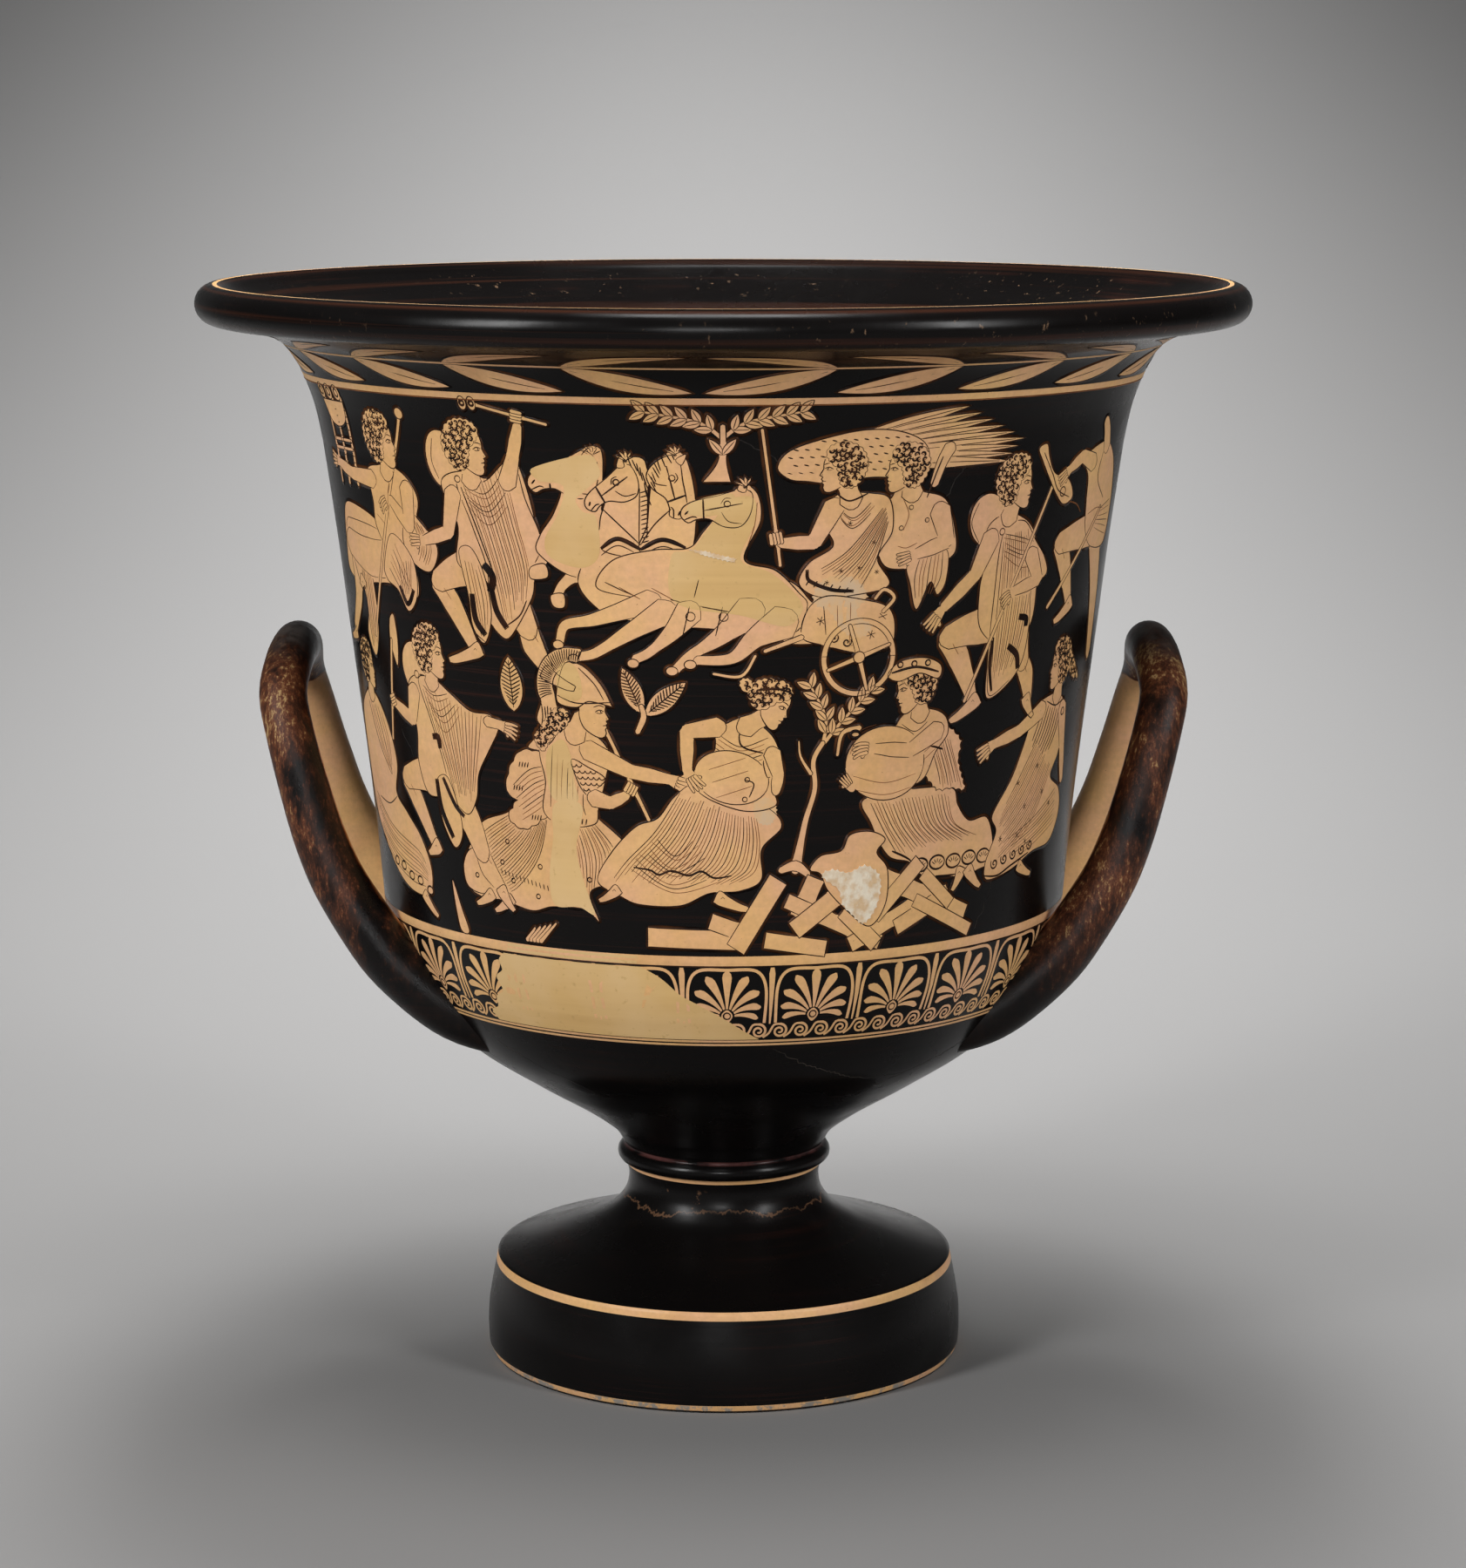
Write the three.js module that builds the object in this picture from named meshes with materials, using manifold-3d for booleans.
// A calyx krater: a deep, wide-mouthed mixing bowl of fired clay on a short stem and a disc foot,
// with two upright loop handles that spring from low on the bowl.  The bowl, foot and handles were
// luted together and fired as one piece, so they are one solid.
// Millimetres, +Z up.  The origin is the centre of the resting ring; the handles lie on +X and -X.

import * as THREE from 'three';
import { mergeVertices } from 'three/addons/utils/BufferGeometryUtils.js';
import Module from 'manifold-3d';

// ---- driving dimensions ----

const HEIGHT = 520;
const LIP_RADIUS = 248.6;           // outermost point of the rolled lip
const LIP_ROLL = 9;                 // half the height of the lip's roll
const LIP_CREST_RADIUS = 240;       // where the roll is highest
const MOUTH_RADIUS = 238;           // inner edge of the lip's flat crest

const FOOT_RADIUS = 115.4;          // the disc foot at its widest
const FOOT_EDGE = [110.9, 47.7];    // radius and height of the foot's upper edge
const RING_RADIUS = 98;             // inner edge of the resting ring
const RECESS_HEIGHT = 34;           // hollow under the foot, at the axis

const STEM_RADIUS = 46.5;           // the stem at its narrowest
const COLLAR_HEIGHT = 97.6;         // middle of the collar ring between stem and bowl
const COLLAR_ROLL = 4.1;            // half the height of the collar ring
const COLLAR_SEAT = 47.8;           // radius that the collar ring bulges from

const BOWL_FLOOR = 123;             // inside of the bowl, at the axis
const CAVITY_TOP = HEIGHT + 12;     // the cutting solid stands clear of the mouth

const ROUND_SEGMENTS = 56;
const HANDLE_SIDES = 12;
const HANDLE_STEPS = 30;

// ---- helpers ----

const wasm = await Module();
wasm.setup();

// Points [radius, height] evenly spaced on one smooth curve through the given ones.
function through(corners, steps) {
  const curve = new THREE.SplineCurve(corners.map(([r, z]) => new THREE.Vector2(r, z)));
  return curve.getSpacedPoints(steps);
}

// Half of a ring's section, from its lowest point round the outside to its highest.
function halfRoll(radius, height, reach, roll, steps) {
  const quarter = Math.PI / 2;
  return new THREE.EllipseCurve(radius, height, reach, roll, -quarter, quarter).getPoints(steps);
}

function withoutRepeats(points) {
  return points.filter((point, i) => i === 0 || point.distanceTo(points[i - 1]) > 0.05);
}

function toSolid(geometry) {
  const bare = geometry.clone();
  bare.deleteAttribute('normal');
  bare.deleteAttribute('uv');
  const merged = mergeVertices(bare, 1e-3);
  return new wasm.Manifold(new wasm.Mesh({
    numProp: 3,
    vertProperties: new Float32Array(merged.attributes.position.array),
    triVerts: new Uint32Array(merged.index.array),
  }));
}

function toGeometry(solid) {
  const mesh = solid.getMesh();
  const geometry = new THREE.BufferGeometry();
  geometry.setAttribute('position', new THREE.BufferAttribute(mesh.vertProperties, 3));
  geometry.setIndex(new THREE.BufferAttribute(mesh.triVerts, 1));
  geometry.computeVertexNormals();
  return geometry;
}

// A solid of revolution about +Z from a profile that starts and ends on the axis.
function turned(profile) {
  const geometry = new THREE.LatheGeometry(withoutRepeats(profile), ROUND_SEGMENTS);
  geometry.rotateX(Math.PI / 2);
  return toSolid(geometry);
}

// ---- the turned body, still full ----

function footProfile() {
  const recess = through([[0, RECESS_HEIGHT], [60, 31], [86, 24], [94, 8], [RING_RADIUS, 0]], 5);
  const side = through([[FOOT_RADIUS - 1.6, 0], [FOOT_RADIUS, 4], [FOOT_RADIUS, 22], FOOT_EDGE], 4);
  const scotia = through([
    FOOT_EDGE, [98, 51.5], [82, 57], [66, 63], [54, 70], [48, 78], [STEM_RADIUS, 84],
    [STEM_RADIUS, 88], [COLLAR_SEAT, COLLAR_HEIGHT - COLLAR_ROLL],
  ], 8);
  return [...recess, ...side, ...scotia];
}

function bowlProfile() {
  const collar = halfRoll(COLLAR_SEAT, COLLAR_HEIGHT, COLLAR_ROLL, COLLAR_ROLL, 4);
  const underside = through([
    [49.2, 103.4], [53.7, 110.6], [70.2, 122.7], [97.1, 139], [126.9, 159.2], [145.9, 182],
    [157.3, 204], [163.7, 226.2],
  ], 9);
  const wall = through([[163.7, 226.2], [169.1, 282.9], [178.7, 361.9], [183.6, 402.1], [189.8, 446.5]], 4);
  const neck = through([[189.8, 446.5], [194.3, 466.5], [202.7, 486.1], [212.5, 495.8], [233, 502]], 6);
  const lip = halfRoll(LIP_CREST_RADIUS, HEIGHT - LIP_ROLL, LIP_RADIUS - LIP_CREST_RADIUS, LIP_ROLL, 8);
  return [...collar, ...underside, ...wall, ...neck, ...lip];
}

function fullBody() {
  const underCentre = new THREE.Vector2(0, RECESS_HEIGHT);
  const topCentre = new THREE.Vector2(0, HEIGHT);
  return turned([underCentre, ...footProfile(), ...bowlProfile(), topCentre]);
}

// ---- the space inside the bowl, which leaves a wall 9 to 11 mm thick ----

function bowlCavity() {
  const basin = through([
    [0, BOWL_FLOOR], [45, 127], [80, 141], [112, 162], [137.5, 190], [149, 208], [154, 228],
  ], 8);
  const wall = through([[154, 228], [159.5, 283], [169.3, 362], [174, 402], [180, 446]], 4);
  const flare = through([
    [180, 446], [184.5, 466], [193, 486], [206, 498], [224, 508], [235.5, 516.5], [MOUTH_RADIUS, HEIGHT],
  ], 7);
  const lid = [new THREE.Vector2(MOUTH_RADIUS, CAVITY_TOP), new THREE.Vector2(0, CAVITY_TOP)];
  return turned([...basin, ...wall, ...flare, ...lid]);
}

// ---- the handles ----

// Half of the +X handle's middle line, from the top of the arch down the leg into the wall.
// Each row: x, y, z, then half the thickness away from the wall and half the width along it.
const HALF_HANDLE = [
  [204.8, 0, 346.3, 11.2, 11.2],
  [206, 24, 342, 11.2, 11.4],
  [207.3, 42, 329, 11.3, 11.6],
  [203.3, 50.5, 311, 11.4, 12],
  [197, 54, 287, 11.8, 12.4],
  [189.3, 56.5, 262, 12.4, 12.8],
  [179.4, 59.5, 240, 13, 13.4],
  [160, 63, 211, 14, 14.4],
  [144, 65, 195, 14.2, 14.8],
  [128, 66, 182, 13.4, 14.4],
  [115, 65.5, 175, 12, 13],
  [101, 63, 169, 9.5, 10],
];

// A cylinder bent along the whole middle line, its section turned so that its thickness lies
// square to the line in the plane that holds +X.
function bentHandle() {
  const mirrored = HALF_HANDLE.slice(1).map(([x, y, z, thick, wide]) => [x, -y, z, thick, wide]);
  const rows = [...mirrored.reverse(), ...HALF_HANDLE];
  const middle = new THREE.CatmullRomCurve3(rows.map(([x, y, z]) => new THREE.Vector3(x, y, z)));
  const halves = new THREE.CatmullRomCurve3(rows.map((row) => new THREE.Vector3(row[3], row[4], 0)));
  const geometry = new THREE.CylinderGeometry(1, 1, 1, HANDLE_SIDES, HANDLE_STEPS);
  const position = geometry.attributes.position;
  const outward = new THREE.Vector3(1, 0, 0);
  for (let i = 0; i < position.count; i += 1) {
    const along = THREE.MathUtils.clamp(position.getY(i) + 0.5, 0, 1);
    const tangent = middle.getTangent(along);
    const thick = outward.clone().addScaledVector(tangent, -outward.dot(tangent)).normalize();
    const wide = new THREE.Vector3().crossVectors(thick, tangent);
    const half = halves.getPoint(along);
    const point = middle.getPoint(along)
      .addScaledVector(thick, position.getX(i) * half.x)
      .addScaledVector(wide, position.getZ(i) * half.y);
    position.setXYZ(i, point.x, point.y, point.z);
  }
  return geometry;
}

// ---- assembly ----

function kraterGeometry() {
  const right = bentHandle();
  const left = right.clone().rotateZ(Math.PI);
  const joined = fullBody().add(toSolid(right)).add(toSolid(left));
  return toGeometry(joined.subtract(bowlCavity()));
}

const glazedClay = new THREE.MeshStandardMaterial({ color: 0x17110f, roughness: 0.28, metalness: 0 });

const krater = new THREE.Mesh(kraterGeometry(), glazedClay);
krater.name = 'krater';

const group = new THREE.Group();
group.add(krater);

export default group;
